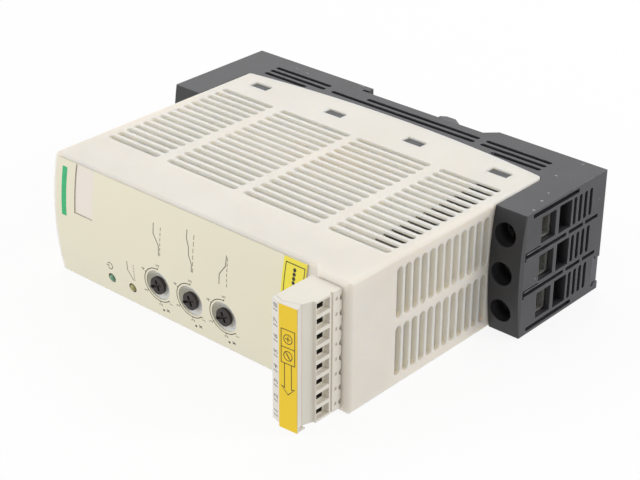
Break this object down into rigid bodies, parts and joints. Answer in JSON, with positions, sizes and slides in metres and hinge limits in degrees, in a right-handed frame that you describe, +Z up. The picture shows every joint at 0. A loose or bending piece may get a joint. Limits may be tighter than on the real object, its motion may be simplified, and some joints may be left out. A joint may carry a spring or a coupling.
{
  "type": "soft starter",
  "caption": "Slim rail-mounted motor soft starter with a slotted beige housing on a dark terminal base, setting dials, lamps and a pull-off control plug.",
  "frame": {"origin": "middle of the rail seat, on the floor of the rail recess in the back", "axes": "+Z up along the height, +Y to the back towards the rail, +X to the right of the front"},
  "size_m": [0.0446, 0.1327, 0.154],
  "materials": {
    "housing_plastic": "satin",
    "base_plastic": "satin",
    "film": "satin",
    "marker": "satin",
    "yellow_label": "satin",
    "yellow_sticker": "satin",
    "green_lens": "gloss",
    "amber_lens": "gloss",
    "dial_plastic": "satin",
    "trimmer_plastic": "satin",
    "board": "satin",
    "black_moulding": "matte",
    "relay_moulding": "satin",
    "winding": "satin",
    "can": "gloss",
    "aluminium": "satin",
    "tin": "satin",
    "spring_steel": "satin",
    "plug_plastic": "satin"
  },
  "bodies": {
    "starter": {"front_housing": "housing_plastic", "base_housing": "base_plastic", "front_film": "film", "marker_plate": "marker", "front_sticker": "yellow_sticker", "power_lamp": "green_lens", "run_lamp": "amber_lens", "start_trimmer": "trimmer_plastic", "voltage_trimmer": "trimmer_plastic", "stop_trimmer": "trimmer_plastic", "control_board": "board", "controller_chip": "black_moulding", "output_relay": "black_moulding", "plug_header": "plug_plastic", "header_pins": "tin", "power_board": "board", "link_board": "board", "supply_transformer": "winding", "capacitors": "can", "bypass_relay_left": "relay_moulding", "bypass_relay_right": "relay_moulding", "heat_sink": "aluminium", "upper_thyristor": "black_moulding", "lower_thyristor": "black_moulding", "module_screws": "tin", "line_busbars": "tin", "load_busbars": "tin", "power_clamps": "tin", "clamp_screws": "tin", "latch_spring": "spring_steel"},
    "start_dial": {"start_dial": "dial_plastic"},
    "voltage_dial": {"voltage_dial": "dial_plastic"},
    "stop_dial": {"stop_dial": "dial_plastic"},
    "rail_latch": {"rail_latch": "base_plastic"},
    "plug": {"plug_body": "plug_plastic", "plug_plate": "plug_plastic", "plug_label": "yellow_label", "plug_cages": "tin", "plug_screws": "tin"}
  },
  "joints": [
    {"name": "start_turn", "type": "hinge", "parent": "starter", "child": "start_dial", "pos_m": [-0.0088, -0.108, 0.00915], "axis": [0, 1, 0], "range_deg": [-114, 114]},
    {"name": "voltage_turn", "type": "hinge", "parent": "starter", "child": "voltage_dial", "pos_m": [-0.0088, -0.108, -0.0056], "axis": [0, 1, 0], "range_deg": [-114, 114]},
    {"name": "stop_turn", "type": "hinge", "parent": "starter", "child": "stop_dial", "pos_m": [-0.0088, -0.108, -0.02035], "axis": [0, 1, 0], "range_deg": [-114, 114]},
    {"name": "latch_slide", "type": "slide", "parent": "starter", "child": "rail_latch", "axis": [0, 0, -1], "range_m": [0, 0.004], "stiffness_N_per_m": 1500, "springref_m": -0.004, "deforming": ["latch_spring"]},
    {"name": "plug_pull", "type": "slide", "parent": "starter", "child": "plug", "axis": [0, -1, 0], "range_m": [0, 0.014]}
  ]
}
